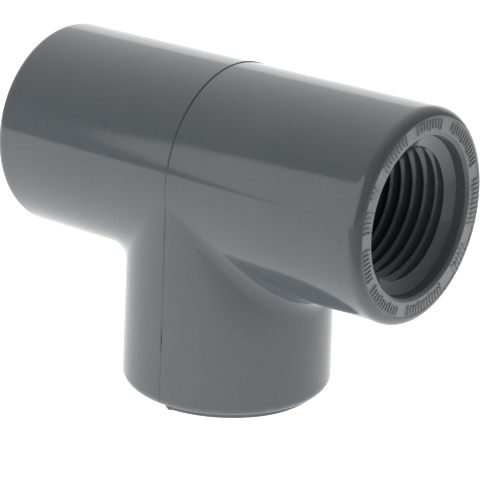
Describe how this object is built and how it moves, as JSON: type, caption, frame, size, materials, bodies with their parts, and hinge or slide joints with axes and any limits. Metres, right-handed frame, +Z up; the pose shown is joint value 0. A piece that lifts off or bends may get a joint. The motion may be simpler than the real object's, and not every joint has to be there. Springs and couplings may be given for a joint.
{
  "type": "threaded pipe tee",
  "caption": "Grey rigid PVC pipe tee for irrigation pipework, with three equal legs that are each threaded inside for half-inch taper-threaded pipe.",
  "frame": {"origin": "centre of the end face of the branch, which is the face that the tee stands on", "axes": "+X along the run; +Z up the branch's axis, from its end face towards the run; +Y across both, horizontal"},
  "size_m": [0.0636, 0.03, 0.0466],
  "materials": {
    "grey_pvc": "as moulded: smooth and glossy, matte and paler on the flat rings round the mouths, cool grey all through"
  },
  "bodies": {
    "root": {"tee_body": "grey_pvc"}
  },
  "joints": []
}
